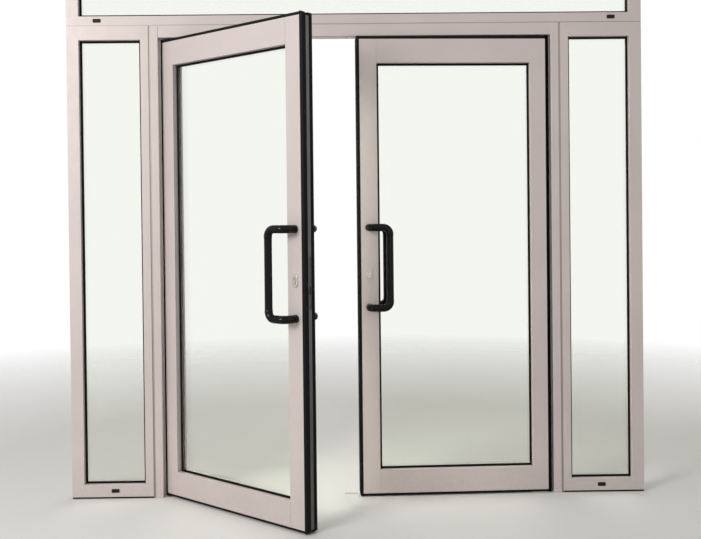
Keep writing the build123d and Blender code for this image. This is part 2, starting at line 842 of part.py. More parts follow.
def leaf_fittings():
    """Blocks in the ends of the stiles: top spindle, bottom pivot shoe and the rod guides."""
    room_depth = depth - wall - flange_depth - 2 * seat_clearance
    room_v = (depth - wall + flange_depth) / 2
    hinge_low = u_hinge + wall
    hinge_high = u_glass_start - rebate - wall
    lock_low = u_glass_end + rebate + wall
    lock_high = u_lock - wall
    top_z = leaf_top - pivot_block_height / 2
    bottom_z = leaf_bottom + pivot_block_height / 2
    upright = (Align.CENTER, Align.CENTER, Align.MIN)
    with BuildPart() as blocks:
        for low, high in ((hinge_low, hinge_high), (lock_low, lock_high)):
            with Locations(((low + high) / 2, room_v, top_z), ((low + high) / 2, room_v, bottom_z)):
                Box(high - low - 2 * seat_clearance, room_depth, pivot_block_height)
        with Locations((0, mid_depth, leaf_top - spindle_embed)):
            Cylinder(pivot_diameter / 2, spindle_top - leaf_top + spindle_embed, align=upright)
        with Locations((0, mid_depth, 0)):
            Cylinder(
                pivot_diameter / 2 + pivot_clearance,
                floor_pin_top + seat_clearance,
                align=upright,
                mode=Mode.SUBTRACT,
            )
        with Locations((u_rod, mid_depth, top_z), (u_rod, mid_depth, bottom_z)):
            Cylinder(rod_diameter / 2 + slide_clearance, 2 * pivot_block_height, mode=Mode.SUBTRACT)
    return blocks


def dead_bolt():
    """Flat bolt that slides out of the right leaf's forend."""
    with BuildPart() as bolt:
        with Locations((u_nose - slide_clearance, mid_depth, lock_height - bolt_drop)):
            Box(bolt_length, bolt_thick, bolt_tall, align=(Align.MAX, Align.CENTER, Align.CENTER))
        fillet(bolt.edges().filter_by(Axis.Z).group_by(Axis.X)[-1], bolt_edge)
    return bolt


def bolt_rod(upper):
    """Round rod from the left leaf's lock case to its top or bottom edge."""
    top = lock_height + lock_case_above
    bottom = lock_height - lock_case_below
    if upper:
        start, end = top - rod_case_entry, leaf_top + rod_proud
    else:
        start, end = leaf_bottom - rod_proud, bottom + rod_case_entry
    with BuildPart() as rod:
        with Locations((u_rod, mid_depth, start)):
            Cylinder(rod_diameter / 2, end - start, align=(Align.CENTER, Align.CENTER, Align.MIN))
        chamfer(rod.edges().group_by(Axis.Z)[-1 if upper else 0], rod_tip)
    return rod


def leaves():
    """Both leaves, each piece made once in leaf coordinates and hung on its side."""
    low = (u_glass_start, leaf_glass_bottom)
    high = (u_glass_end, leaf_glass_top)
    pieces = {
        "hinge_stile": hinge_stile(),
        "lock_stile": lock_stile(),
        "top_rail": rail(leaf_top, -Z_AXIS, top_rail_face),
        "bottom_rail": rail(leaf_bottom, Z_AXIS, bottom_rail_face),
        "hinge_guard": hinge_guard(),
        "lip_seals": lip_seals(),
        "glass_leaf": glass_unit(low, high),
        "seals_leaf": glazing_seals(low, high),
        "beads_leaf": glazing_beads(low, high),
        "pulls": pulls(),
        "lock_case": lock_case(),
        "cylinder": cylinder(),
        "escutcheons": escutcheons(),
        "key_plug": key_plug(),
        "fittings": leaf_fittings(),
    }
    for hand in ("left", "right"):
        for name, piece in pieces.items():
            save(hang(piece.part, hand), f"{name}_{hand}")
    save(hang(dead_bolt().part, "right"), "dead_bolt")
    save(hang(bolt_rod(True).part, "left"), "rod_upper")
    save(hang(bolt_rod(False).part, "left"), "rod_lower")


door_frame()
side_light("left")
side_light("right")
fanlight()
fixed_glazing()
couplings()
base_strips()
drain_caps()
closers()
floor_and_keep_plates()
leaves()
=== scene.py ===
import json
import math

import bmesh
import bpy
from mathutils import Matrix, Vector


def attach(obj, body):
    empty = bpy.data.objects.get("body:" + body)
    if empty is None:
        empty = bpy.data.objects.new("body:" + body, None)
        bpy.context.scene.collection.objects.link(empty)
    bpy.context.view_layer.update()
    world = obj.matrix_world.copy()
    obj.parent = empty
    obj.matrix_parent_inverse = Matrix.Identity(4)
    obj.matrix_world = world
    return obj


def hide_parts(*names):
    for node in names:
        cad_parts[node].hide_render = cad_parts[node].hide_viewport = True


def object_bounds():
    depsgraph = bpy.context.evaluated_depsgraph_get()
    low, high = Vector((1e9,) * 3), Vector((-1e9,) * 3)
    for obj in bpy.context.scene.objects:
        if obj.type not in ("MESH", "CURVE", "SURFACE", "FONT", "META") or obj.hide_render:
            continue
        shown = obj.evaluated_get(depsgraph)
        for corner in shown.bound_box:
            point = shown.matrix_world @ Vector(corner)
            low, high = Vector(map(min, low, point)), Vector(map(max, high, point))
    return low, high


bl_info = {
    "name": "Glass Entrance Door",
    "version": (1, 0, 0),
    "blender": (4, 5, 0),
    "location": "View3D > Sidebar > Entrance Door",
    "description": "Dresses the solids of a glazed entrance screen with two swing leaves",
    "category": "Object",
}

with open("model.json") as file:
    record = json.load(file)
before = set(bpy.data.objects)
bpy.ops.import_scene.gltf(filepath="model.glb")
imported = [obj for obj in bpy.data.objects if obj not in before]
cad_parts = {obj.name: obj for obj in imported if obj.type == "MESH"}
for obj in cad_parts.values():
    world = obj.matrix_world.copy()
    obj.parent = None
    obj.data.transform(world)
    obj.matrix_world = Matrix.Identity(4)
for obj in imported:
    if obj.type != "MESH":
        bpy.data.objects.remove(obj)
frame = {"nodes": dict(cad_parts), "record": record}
cad_low, cad_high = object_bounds()

MM = 0.001
# Points this near to each other are joined, and a wider limit tells which ones touch a face
JOINED = 0.001 * MM
TOUCHING = 0.01 * MM
X_AXIS = Vector((1, 0, 0))
Y_AXIS = Vector((0, 1, 0))
Z_AXIS = Vector((0, 0, 1))
SIDES = ("left", "right")
# Angles of a quarter turn, in six steps
QUARTER_TURN = [math.radians(15 * step) for step in range(7)]
JOINTS = {joint["name"]: joint for joint in frame["record"]["behaviour"]["joints"]}
SLOT_OF = {part["node"]: part["material_slot"] for part in frame["record"]["subparts"]}
# The pivots stand in the middle of the bars' depth
BAR_MIDDLE = JOINTS["leaf_left_swing"]["pos_m"][1]
BODIES = frame["record"]["behaviour"]["bodies"]
BODY_OF = {node: body for body, nodes in BODIES.items() for node in nodes}

# The photographed view, for an image 701 pixels wide: lens, place and turns of the camera
IMAGE_WIDTH = 701
FOCAL_PIXELS = 900
SENSOR_WIDTH = 36.0
LENS_DROP_PIXELS = 37.9
CAMERA_PLACE = (-0.075, -4.170, 1.2695)
CAMERA_YAW = math.radians(0.64)
CAMERA_PITCH = math.radians(0.60)
CAMERA_ROLL = math.radians(0.62)

# Lamps of the stage: name, place, width and the setting that holds the power
LAMPS = (
    ("key_lamp", (-4.0, -4.2, 3.0), 2.2, "key_power"),
    ("fill_lamp", (4.0, -4.2, 3.4), 2.2, "fill_power"),
    ("back_lamp", (0.5, 4.2, 5.4), 3.4, "back_power"),
)
# The floor reaches this far from the middle, and fades out between the two distances
FLOOR_REACH = 20
FLOOR_FADE = (2.2, 6.0)


def linear(code):
    """Linear RGB of an sRGB hex colour."""
    channels = [int(code[start : start + 2], 16) / 255 for start in (0, 2, 4)]
    return tuple(c / 12.92 if c <= 0.04045 else ((c + 0.055) / 1.055) ** 2.4 for c in channels)


def colour_property(label, description, code):
    """A colour that the user may change, with its default as a hex code."""
    return bpy.props.FloatVectorProperty(
        name=label, description=description, subtype="COLOR", size=3, min=0, max=1, default=linear(code)
    )


def length_property(label, description, millimetres):
    """A length that the user may change, with its default in millimetres."""
    return bpy.props.FloatProperty(
        name=label, description=description, unit="LENGTH", min=0, precision=4, default=millimetres * MM
    )


class DoorSizes(bpy.types.PropertyGroup):
    """Sizes of what is added to the solids."""

    edge_break: length_property("Edge break", "Width of the broken edges of the aluminium bars", 0.5)
    pull_bend: length_property("Pull bend", "Radius of the bends of a pull, on the tube's middle", 30)
    pull_collar: length_property("Pull collar", "Height of the collar at the foot of a pull", 4)
    pull_groove: length_property("Pull groove", "Width of the joint grooves of a pull", 0.8)
    pull_sleeve: length_property("Pull sleeve", "How far an elbow reaches over the grip from the corner", 38)
    pull_step: length_property("Pull step", "How much thinner the grip's radius is than the elbow's", 0.8)
    screw_head: length_property("Screw head", "Diameter of the countersunk screw heads", 8)
    screw_socket: length_property("Screw socket", "Width across the corners of the hexagon socket", 4)
    screw_proud: length_property("Screw height", "How far a screw head stands above its plate", 0.2)
    cap_corner: length_property("Cap corner", "Corner radius of a drainage cap", 4)
    cap_edge: length_property("Cap edge", "Rounding of a drainage cap's front edge", 0.8)
    cap_rim: length_property("Cap rim", "Width of the rim round a cap's recess", 3.2)
    cap_recess: length_property("Cap recess", "Depth of a cap's recess", 1.2)
    lip_radius: length_property("Lip radius", "Rounding of a lip's outer corner", 8)
    lip_corner: length_property("Lip corner", "Rounding of the lock lips at the leaf's corners", 12)
    lip_groove: length_property("Lip groove", "Width of the grooves along a lip's tip", 1.4)
    strip_edge: length_property("Strip edge", "Rounding of the flat strips between the lips", 0.5)


class DoorColours(bpy.types.PropertyGroup):
    """Colours of the finishes."""

    coating: colour_property("Coating", "Warm silver coating of the bars", "C8BCB8")
    groove: colour_property("Groove", "Mill aluminium in the grooves", "A89C95")
    glass: colour_property("Glass", "Tint of one pane's face", "F9FAF7")
    rubber: colour_property("Rubber", "Outer gaskets and lips", "0E0E10")
    # Pale grey of the inner gaskets, partly painted light: made paler than the rubber so that it reads as lit
    # through the panes
    inner_rubber_painted_lit: colour_property("Inner rubber", "Inner gaskets, seen through the panes", "E4DFDA")
    polyamide: colour_property("Polyamide", "Rounded guards and bedding strips", "0B0B0D")
    nylon: colour_property("Nylon", "Pull handles", "060608")
    cap: colour_property("Cap", "Drainage caps", "121213")
    zinc: colour_property("Zinc", "Plated steel fittings", "B4B3AF")
    anodised: colour_property("Anodised", "Strips between the lips of the lock edge", "686664")
    blackened: colour_property("Blackened", "Lock cases, forends and their screws", "5A5957")
    stainless: colour_property("Stainless", "Pivot plates, keeps and escutcheons", "CDC4BF")
    nickel: colour_property("Nickel", "Lock cylinders and plugs", "C4BDB0")
    floor: colour_property("Floor", "Floor of the stage", "E4E2DE")


class DoorStage(bpy.types.PropertyGroup):
    """Light of the stage."""

    key_power: bpy.props.FloatProperty(
        name="Key light", description="Power of the light from the left front", subtype="POWER", default=215
    )
    fill_power: bpy.props.FloatProperty(
        name="Fill light", description="Power of the light from the right front", subtype="POWER", default=8
    )
    back_power: bpy.props.FloatProperty(
        name="Back light", description="Power of the light behind the door", subtype="POWER", default=70
    )
    sky_strength: bpy.props.FloatProperty(
        name="Sky", description="Strength of the even light from all round", min=0, max=1, default=0.38
    )


# Materials


def add_node(tree, kind, inputs, **settings):
    """Add a node, set its properties, and set its inputs or link sockets to them."""
    node = tree.nodes.new(kind)
    for key, value in settings.items():
        setattr(node, key, value)
    for key, value in inputs.items():
        if isinstance(value, bpy.types.NodeSocket):
            tree.links.new(value, node.inputs[key])
        else:
            node.inputs[key].default_value = value
    return node


def start_material(name):
    """An empty material with its tree, and the object coordinates in metres."""
    material = bpy.data.materials.new(name)
    material.use_nodes = True
    tree = material.node_tree
    tree.nodes.clear()
    place = add_node(tree, "ShaderNodeTexCoord", {}).outputs["Object"]
    return material, tree, place


def end_material(material, shader):
    """Link a shader to the material's output, and give the material back."""
    add_node(material.node_tree, "ShaderNodeOutputMaterial", {"Surface": shader})
    return material


def noise(tree, place, size, detail=2.0, roughness=0.5, stretch=(1, 1, 1)):
    """Noise whose features are about size metres wide, longer along an axis with a small stretch."""
    mapped = add_node(tree, "ShaderNodeMapping", {"Vector": place, "Scale": stretch})
    return add_node(
        tree,
        "ShaderNodeTexNoise",
        {"Vector": mapped.outputs["Vector"], "Scale": 1 / size, "Detail": detail, "Roughness": roughness},
    ).outputs["Fac"]


def spread(tree, value, low, high, to_low, to_high):
    """A value between two limits, spread to two others and held there."""
    return add_node(
        tree,
        "ShaderNodeMapRange",
        {"Value": value, "From Min": low, "From Max": high, "To Min": to_low, "To Max": to_high},
    ).outputs["Result"]


def product(tree, first, second):
    """Two values multiplied."""
    return add_node(tree, "ShaderNodeMath", {0: first, 1: second}, operation="MULTIPLY").outputs["Value"]


def blend_colours(tree, share, first, second):
    """The first colour turning to the second with a share from 0 to 1."""
    node = add_node(tree, "ShaderNodeMix", {0: share}, data_type="RGBA")
    for socket, colour in ((node.inputs[6], first), (node.inputs[7], second)):
        if isinstance(colour, bpy.types.NodeSocket):
            tree.links.new(colour, socket)
        else:
            socket.default_value = (*colour, 1)
    return node.outputs[2]


def shade(colour, factor):
    """A colour made lighter or darker."""
    return tuple(min(1, channel * factor) for channel in colour)


def bump(tree, height, distance, strength=1.0):
    """Surface relief of a height from 0 to 1 over a distance in metres."""
    return add_node(
        tree, "ShaderNodeBump", {"Height": height, "Distance": distance, "Strength": strength}
    ).outputs["Normal"]


def height_above_floor(tree, place):
    """Height of a point above the floor."""
    return add_node(tree, "ShaderNodeSeparateXYZ", {"Vector": place}).outputs["Z"]


def coated_aluminium(colours):
    """Powder-coated aluminium: a baked satin skin, even in colour, with a faint orange peel."""
    material, tree, place = start_material("powder_coated_aluminium")
    cloudy = spread(tree, noise(tree, place, 350 * MM, detail=3), 0.3, 0.7, 0, 1)
    coat = blend_colours(tree, cloudy, shade(colours.coating, 0.96), shade(colours.coating, 1.04))
    # Rain splash and mop marks dull the lowest 160 mm
    near_floor = spread(tree, height_above_floor(tree, place), 0, 160 * MM, 1, 0)
    splashes = spread(tree, noise(tree, place, 18 * MM, detail=6, roughness=0.7), 0.45, 0.75, 0, 0.25)
    soiled = blend_colours(tree, product(tree, near_floor, splashes), coat, shade(colours.coating, 0.45))
    # Rubbed patches show as changes of gloss; grain of 0.4 mm is drawn at 1.5 mm so that it shows
    gloss = spread(tree, noise(tree, place, 50 * MM, detail=5, roughness=0.65), 0.3, 0.7, 0.42, 0.54)
    peel = noise(tree, place, 1.5 * MM, detail=2)
    shader = add_node(
        tree,
        "ShaderNodeBsdfPrincipled",
        {
            "Base Color": soiled,
            "Metallic": 0.15,
            "Roughness": gloss,
            "Normal": bump(tree, peel, 0.05 * MM, 0.6),
        },
    )
    return end_material(material, shader.outputs["BSDF"])


def mill_aluminium(colours):
    """Mill-finish aluminium in the grooves: extruded, uncoated, dulled to a warm grey."""
    material, tree, place = start_material("mill_aluminium")
    # Die lines of 0.5 mm are drawn at 4 mm so that they show
    drawn = noise(tree, place, 4 * MM, detail=4, stretch=(1, 1, 0.02))
    colour = blend_colours(tree, drawn, shade(colours.groove, 0.75), colours.groove)
    shader = add_node(
        tree,
        "ShaderNodeBsdfPrincipled",
        {
            "Base Color": colour,
            "Metallic": 1.0,
            "Roughness": spread(tree, drawn, 0.3, 0.7, 0.45, 0.6),
            "Normal": bump(tree, drawn, 0.05 * MM, 0.5),
        },
    )
    return end_material(material, shader.outputs["BSDF"])


def float_glass(colours):
    """Clear float glass: flat, with the faint green of its iron, wiped but for a light haze."""
    material, tree, place = start_material("float_glass")
    # Wiping leaves a haze in bands of 120 mm; the sheets' own waves are about 450 mm long
    haze = noise(tree, place, 120 * MM, detail=6, roughness=0.6, stretch=(1, 1, 0.6))
    waves = noise(tree, place, 450 * MM, detail=1)
    glass = add_node(
        tree,
        "ShaderNodeBsdfPrincipled",
        {
            "Base Color": (*colours.glass, 1),
            "Roughness": spread(tree, haze, 0.5, 0.75, 0.0, 0.035),
            "IOR": 1.52,
            "Transmission Weight": 1.0,
            "Normal": bump(tree, waves, 0.3 * MM, 0.3),
        },
    )
    # Light passes on to what is behind, as it does through thin panes
    clear = add_node(tree, "ShaderNodeBsdfTransparent", {"Color": (*colours.glass, 1)})
    path = add_node(tree, "ShaderNodeLightPath", {})
    both = add_node(
        tree,
        "ShaderNodeMixShader",
        {0: path.outputs["Is Shadow Ray"], 1: glass.outputs["BSDF"], 2: clear.outputs["BSDF"]},
    )
    return end_material(material, both.outputs["Shader"])


def sealing_rubber(colours):
    """Extruded EPDM rubber: matt black with a bloom of grey dust in patches."""
    material, tree, place = start_material("epdm_rubber")
    # Dust lies in patches of 30 mm; the skin has a grain of 0.3 mm, drawn at 2 mm so that it shows
    dust = spread(tree, noise(tree, place, 30 * MM, detail=6, roughness=0.7), 0.5, 0.8, 0, 0.35)
    colour = blend_colours(tree, dust, colours.rubber, shade(colours.rubber, 4.0))
    shader = add_node(
        tree,
        "ShaderNodeBsdfPrincipled",
        {
            "Base Color": colour,
            "Roughness": spread(tree, dust, 0, 0.35, 0.5, 0.8),
            "Specular IOR Level": 0.1,
            "Normal": bump(tree, noise(tree, place, 2 * MM, detail=3), 0.1 * MM, 0.5),
        },
    )
    return end_material(material, shader.outputs["BSDF"])


def inner_rubber_painted_lit(colours):
    """Extruded light grey rubber: matt, a little soiled in patches. Its colour is painted paler still:
    painted light that stands for the light reaching it through the panes.
    """
    material, tree, place = start_material("grey_epdm_rubber")
    # Soil lies in patches of 30 mm; the skin has a grain of 0.3 mm, drawn at 2 mm so that it shows
    soil = spread(tree, noise(tree, place, 30 * MM, detail=6, roughness=0.7), 0.45, 0.8, 0, 0.5)
    shader = add_node(
        tree,
        "ShaderNodeBsdfPrincipled",
        {
            "Base Color": blend_colours(tree, soil, colours.inner_rubber_painted_lit, shade(colours.inner_rubber_painted_lit, 0.6)),
            "Roughness": 0.7,
            "Normal": bump(tree, noise(tree, place, 2 * MM, detail=3), 0.1 * MM, 0.5),
        },
    )
    return end_material(material, shader.outputs["BSDF"])


def black_polyamide(colours):
    """Extruded polyamide: black and half matt, with die lines along its length."""
    material, tree, place = start_material("black_polyamide")
    # Die lines of 0.5 mm are drawn at 2.5 mm so that they show; scuffs are about 20 mm across
    lines = noise(tree, place, 2.5 * MM, detail=3, stretch=(1, 1, 0.01))
    scuffs = noise(tree, place, 20 * MM, detail=6, roughness=0.7, stretch=(1, 1, 0.3))
    scuffed = spread(tree, scuffs, 0.55, 0.8, 0, 0.4)
    shader = add_node(
        tree,
        "ShaderNodeBsdfPrincipled",
        {
            "Base Color": blend_colours(tree, scuffed, colours.polyamide, shade(colours.polyamide, 5.0)),
            "Roughness": spread(tree, lines, 0.3, 0.7, 0.55, 0.7),
            "Specular IOR Level": 0.0,
            "Normal": bump(tree, lines, 0.08 * MM, 0.5),
        },
    )
    return end_material(material, shader.outputs["BSDF"])


def dark_anodised(colours):
    """Dark anodised aluminium: a satin strip whose drawn lines give a soft light line along it."""
    material, tree, place = start_material("dark_anodised_aluminium")
    # Drawing lines of 0.5 mm are made at 3 mm so that they show; worn patches are about 30 mm across
    lines = noise(tree, place, 3 * MM, detail=3, stretch=(1, 1, 0.01))
    wear = noise(tree, place, 30 * MM, detail=5, roughness=0.7, stretch=(1, 1, 0.2))
    shader = add_node(
        tree,
        "ShaderNodeBsdfPrincipled",
        {
            "Base Color": blend_colours(tree, lines, shade(colours.anodised, 0.8), colours.anodised),
            "Metallic": 1.0,
            "Roughness": spread(tree, wear, 0.35, 0.7, 0.28, 0.42),
            "Normal": bump(tree, lines, 0.05 * MM, 0.4),
        },
    )
    return end_material(material, shader.outputs["BSDF"])


def black_nylon(colours):
    """Moulded nylon: deep black with a high polish, dulled by hands along the grip."""
    material, tree, place = start_material("black_nylon")
    # Hands dull patches of about 20 mm; the mould leaves shallow waves of 9 mm
    handled = spread(tree, noise(tree, place, 20 * MM, detail=6, roughness=0.7), 0.4, 0.75, 0.1, 0.26)
    shader = add_node(
        tree,
        "ShaderNodeBsdfPrincipled",
        {
            "Base Color": (*colours.nylon, 1),
            "Roughness": handled,
            "IOR": 1.53,
            "Specular IOR Level": 0.15,
            "Normal": bump(tree, noise(tree, place, 9 * MM, detail=2), 0.1 * MM, 0.35),
        },
    )
    return end_material(material, shader.outputs["BSDF"])


def cap_plastic(colours):
    """Moulded polypropylene caps: dark grey, matt, with a fine spark texture."""
    material, tree, place = start_material("dark_polypropylene")
    # Spark grit of 0.1 mm is drawn at 0.8 mm so that it shows
    grit = noise(tree, place, 0.8 * MM, detail=2)
    shader = add_node(
        tree,
        "ShaderNodeBsdfPrincipled",
        {
            "Base Color": blend_colours(tree, grit, colours.cap, shade(colours.cap, 1.6)),
            "Roughness": 0.55,
            "Specular IOR Level": 0.2,
            "Normal": bump(tree, grit, 0.06 * MM, 0.6),
        },
    )
    return end_material(material, shader.outputs["BSDF"])


def plated_steel(colours):
    """Zinc-plated steel: bright bluish grey, clouded where the passivation is uneven."""
    material, tree, place = start_material("zinc_plated_steel")
    # The passivation clouds over about 8 mm
    clouds = noise(tree, place, 8 * MM, detail=5, roughness=0.6)
    shader = add_node(
        tree,
        "ShaderNodeBsdfPrincipled",
        {
            "Base Color": blend_colours(tree, clouds, shade(colours.zinc, 0.8), colours.zinc),
            "Metallic": 1.0,
            "Roughness": spread(tree, clouds, 0.3, 0.7, 0.28, 0.42),
        },
    )
    return end_material(material, shader.outputs["BSDF"])


def blackened_steel(colours):
    """Steel under a thin black oxide, waxed: dark grey with a soft sheen, lighter where rubbed."""
    material, tree, place = start_material("blackened_steel")
    # Rubbed patches are about 12 mm across
    rubbed = spread(tree, noise(tree, place, 12 * MM, detail=6, roughness=0.7), 0.5, 0.8, 0, 0.5)
    shader = add_node(
        tree,
        "ShaderNodeBsdfPrincipled",
        {
            "Base Color": blend_colours(tree, rubbed, colours.blackened, shade(colours.blackened, 1.6)),
            "Metallic": 1.0,
            "Roughness": spread(tree, rubbed, 0, 0.5, 0.42, 0.3),
        },
    )
    return end_material(material, shader.outputs["BSDF"])


def satin_stainless(colours):
    """Stainless steel ground lengthwise: fine upright lines that draw the highlights out."""
    material, tree, place = start_material("satin_stainless_steel")
    # Grinding lines of 0.1 mm are drawn at 0.6 mm so that they show
    lines = noise(tree, place, 0.6 * MM, detail=3, stretch=(1, 1, 0.03))
    shader = add_node(
        tree,
        "ShaderNodeBsdfPrincipled",
        {
            "Base Color": blend_colours(tree, lines, shade(colours.stainless, 0.88), colours.stainless),
            "Metallic": 1.0,
            "Roughness": spread(tree, lines, 0.3, 0.7, 0.34, 0.46),
            "Normal": bump(tree, lines, 0.02 * MM, 0.5),
        },
    )
    return end_material(material, shader.outputs["BSDF"])


def nickel_plate(colours):
    """Nickel-plated brass: smooth warm silver with fine key scratches."""
    material, tree, place = start_material("nickel_plated_brass")
    # Scratches of 0.1 mm are drawn at 1.2 mm so that they show
    scratches = noise(tree, place, 1.2 * MM, detail=6, roughness=0.8, stretch=(1, 0.2, 1))
    shader = add_node(
        tree,
        "ShaderNodeBsdfPrincipled",
        {
            "Base Color": blend_colours(tree, scratches, shade(colours.nickel, 0.9), colours.nickel),
            "Metallic": 1.0,
            "Roughness": spread(tree, scratches, 0.3, 0.7, 0.16, 0.3),
            "Normal": bump(tree, scratches, 0.02 * MM, 0.4),
        },
    )
    return end_material(material, shader.outputs["BSDF"])


MAKERS = {
    "coated_aluminium": coated_aluminium,
    "groove_aluminium": mill_aluminium,
    "insulating_glass": float_glass,
    "sealing_rubber": sealing_rubber,
    "inner_rubber_painted_lit": inner_rubber_painted_lit,
    "black_polyamide": black_polyamide,
    "dark_anodised": dark_anodised,
    "black_nylon": black_nylon,
    "cap_plastic": cap_plastic,
    "zinc_plated_steel": plated_steel,
    "blackened_steel": blackened_steel,
    "stainless_steel": satin_stainless,
    "nickel_brass": nickel_plate,
}
# The finishes made so far
finishes = {}


def finish_for(kind):
    """The finish of a material slot, or of one of its variants, made once."""
    if kind not in finishes:
        finishes[kind] = MAKERS[kind](bpy.context.scene.door_colours)
    return finishes[kind]


# Placing pieces


def leaf_place(side):
    """From leaf coordinates to the leaf at rest. There x runs from the pivot to the lock edge,
    y from the middle of the depth towards the back, and z up."""
    through = Vector(JOINTS[f"key_{side}_turn"]["axis"])
    angle = math.atan2(-through.x, through.y)
    place = Matrix.Translation(JOINTS[f"leaf_{side}_swing"]["pos_m"]) @ Matrix.Rotation(angle, 4, "Z")
    return place if side == "left" else place @ Matrix.Scale(-1, 4, X_AXIS)


def box_of(points):
    """Lowest and highest corner of some points."""
    low = Vector([min(point[axis] for point in points) for axis in range(3)])
    high = Vector([max(point[axis] for point in points) for axis in range(3)])
    return low, high


def leaf_points(node, side):
    """The vertices of a solid in leaf coordinates."""
    back = leaf_place(side).inverted()
    return [back @ vertex.co for vertex in frame["nodes"][node].data.vertices]


def leaf_box(node, side):
    """Lowest and highest corner of a solid in leaf coordinates."""
    return box_of(leaf_points(node, side))


def merged_copy(node):
    """A bmesh copy of a solid, its loose triangles joined."""
    bm = bmesh.new()
    bm.from_mesh(frame["nodes"][node].data)
    bmesh.ops.remove_doubles(bm, verts=bm.verts, dist=JOINED)
    return bm


def islands(bm):
    """The vertices of each separate solid of a bmesh."""
    left, groups = set(bm.verts), []
    while left:
        reach = {left.pop()}
        group = set(reach)
        while reach:
            reach = {e.other_vert(v) for v in reach for e in v.link_edges} - group
            group |= reach
        left -= group
        groups.append(group)
    return groups


def solid_boxes(node, side=None):
    """Lowest and highest corner of each separate solid of a node, in leaf coordinates for a side."""
    bm = merged_copy(node)
    if side:
        bmesh.ops.transform(bm, matrix=leaf_place(side).inverted(), verts=bm.verts)
    boxes = [box_of([vert.co for vert in group]) for group in islands(bm)]
    bm.free()
    return sorted(boxes, key=lambda box: tuple(box[0]))


def is_wide(face):
    """Whether a face is a flat of a bar, and not a facet of one of its narrow roundings."""
    narrowest_flat = 3 * MM
    return face.calc_area() > narrowest_flat * max(edge.calc_length() for edge in face.edges)


def add_piece(name, bm, body, slot, *nodes, smooth_below=40, keep_flats=False, finish=None):
    """Turn a bmesh into a finished piece on a body, standing for the named solids."""
    bmesh.ops.recalc_face_normals(bm, faces=bm.faces)
    for face in bm.faces:
        face.smooth = not (keep_flats and is_wide(face))
    for edge in bm.edges:
        edge.smooth = len(edge.link_faces) == 2 and edge.calc_face_angle(0) < math.radians(smooth_below)
    mesh = bpy.data.meshes.new(name)
    bm.to_mesh(mesh)
    bm.free()
    mesh.materials.append(finish_for(finish or slot))
    made = bpy.data.objects.new(name, mesh)
    bpy.context.scene.collection.objects.link(made)
    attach(made, body)
    if nodes:
        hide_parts(*nodes)
    return made


def rim_of(verts):
    """The edges between some vertices."""
    chosen = set(verts)
    return list({e for v in verts for e in v.link_edges if e.other_vert(v) in chosen})


def new_verts(made):
    """The vertices of an operator's result."""
    return [item for item in made if isinstance(item, bmesh.types.BMVert)]


def start_ring(bm, radius, segments, place):
    """A circle of vertices, its normal along the z of its place."""
    return bmesh.ops.create_circle(bm, segments=segments, radius=radius, matrix=place)["verts"]


def draw_out(bm, ring, step, scale=1.0):
    """Extrude a ring by a step and resize it about its middle."""
    ring = new_verts(bmesh.ops.extrude_edge_only(bm, edges=rim_of(ring))["geom"])
    bmesh.ops.translate(bm, verts=ring, vec=step)
    if scale != 1:
        middle = sum((vert.co for vert in ring), Vector()) / len(ring)
        bmesh.ops.scale(bm, verts=ring, vec=(scale,) * 3, space=Matrix.Translation(-middle))
    return ring


def bend(bm, ring, centre, axis, angle, steps=10):
    """Spin a ring about an axis, as a bent tube."""
    made = bmesh.ops.spin(
        bm,
        geom=ring + rim_of(ring),
        cent=centre,
        axis=axis,
        angle=angle,
        steps=steps,
        use_merge=False,
        use_duplicate=False,
    )
    return new_verts(made["geom_last"])


def height_of(ring):
    """Height of a level ring."""
    return sum(vert.co.z for vert in ring) / len(ring)


def round_edges(bm, edges, width, segments=2, clamp=False):
    """Round some edges over a width on both of their faces."""
    bmesh.ops.bevel(
        bm,
        geom=edges,
        offset=width,
        offset_type="OFFSET",
        affect="EDGES",
        segments=segments,
        profile=0.5,
        material=-1,
        clamp_overlap=clamp,
    )


def close_holes(bm):
    """Fill every open rim."""
    bmesh.ops.holes_fill(bm, edges=[edge for edge in bm.edges if edge.is_boundary], sides=0)


def mirror_all(bm, axis, middle, merge):
    """Mirror the whole bmesh across a plane through middle."""
    bmesh.ops.translate(bm, verts=bm.verts, vec=-middle)
    bmesh.ops.mirror(bm, geom=bm.verts[:] + bm.edges[:] + bm.faces[:], axis=axis, merge_dist=merge)
    bmesh.ops.translate(bm, verts=bm.verts, vec=middle)


def add_screw(bm, place, sizes):
    """Countersunk screw head with a hexagon socket, its top along the place's z."""
    segments, socket_depth, sixth = 24, 1.6 * MM, math.pi / 3
    lift = place @ Matrix.Translation((0, 0, sizes.screw_proud))
    crown = sizes.screw_head / 2 - sizes.screw_proud
    outer = start_ring(bm, crown, segments, lift)
    inner = start_ring(bm, sizes.screw_socket / 2, segments, lift)
    flats = math.cos(sixth / 2)
    for vert in inner:
        out = lift.inverted() @ vert.co
        turn = math.atan2(out.y, out.x) % sixth - sixth / 2
        vert.co = lift @ (out * flats / math.cos(turn))
    bmesh.ops.bridge_loops(bm, edges=rim_of(outer) + rim_of(inner))
    down = place.to_3x3() @ Vector((0, 0, -1))
    draw_out(bm, outer, down * sizes.screw_proud, scale=sizes.screw_head / 2 / crown)
    draw_out(bm, inner, down * socket_depth)


# Operators


class DOOR_OT_finish_solids(bpy.types.Operator):
    """Give every solid the finish of its material slot"""

    bl_idname = "door.finish_solids"
    bl_label = "Finish Solids"

    def execute(self, context):
        for node, solid in frame["nodes"].items():
            solid.data.materials.clear()
            solid.data.materials.append(finish_for(SLOT_OF[node]))
        return {"FINISHED"}


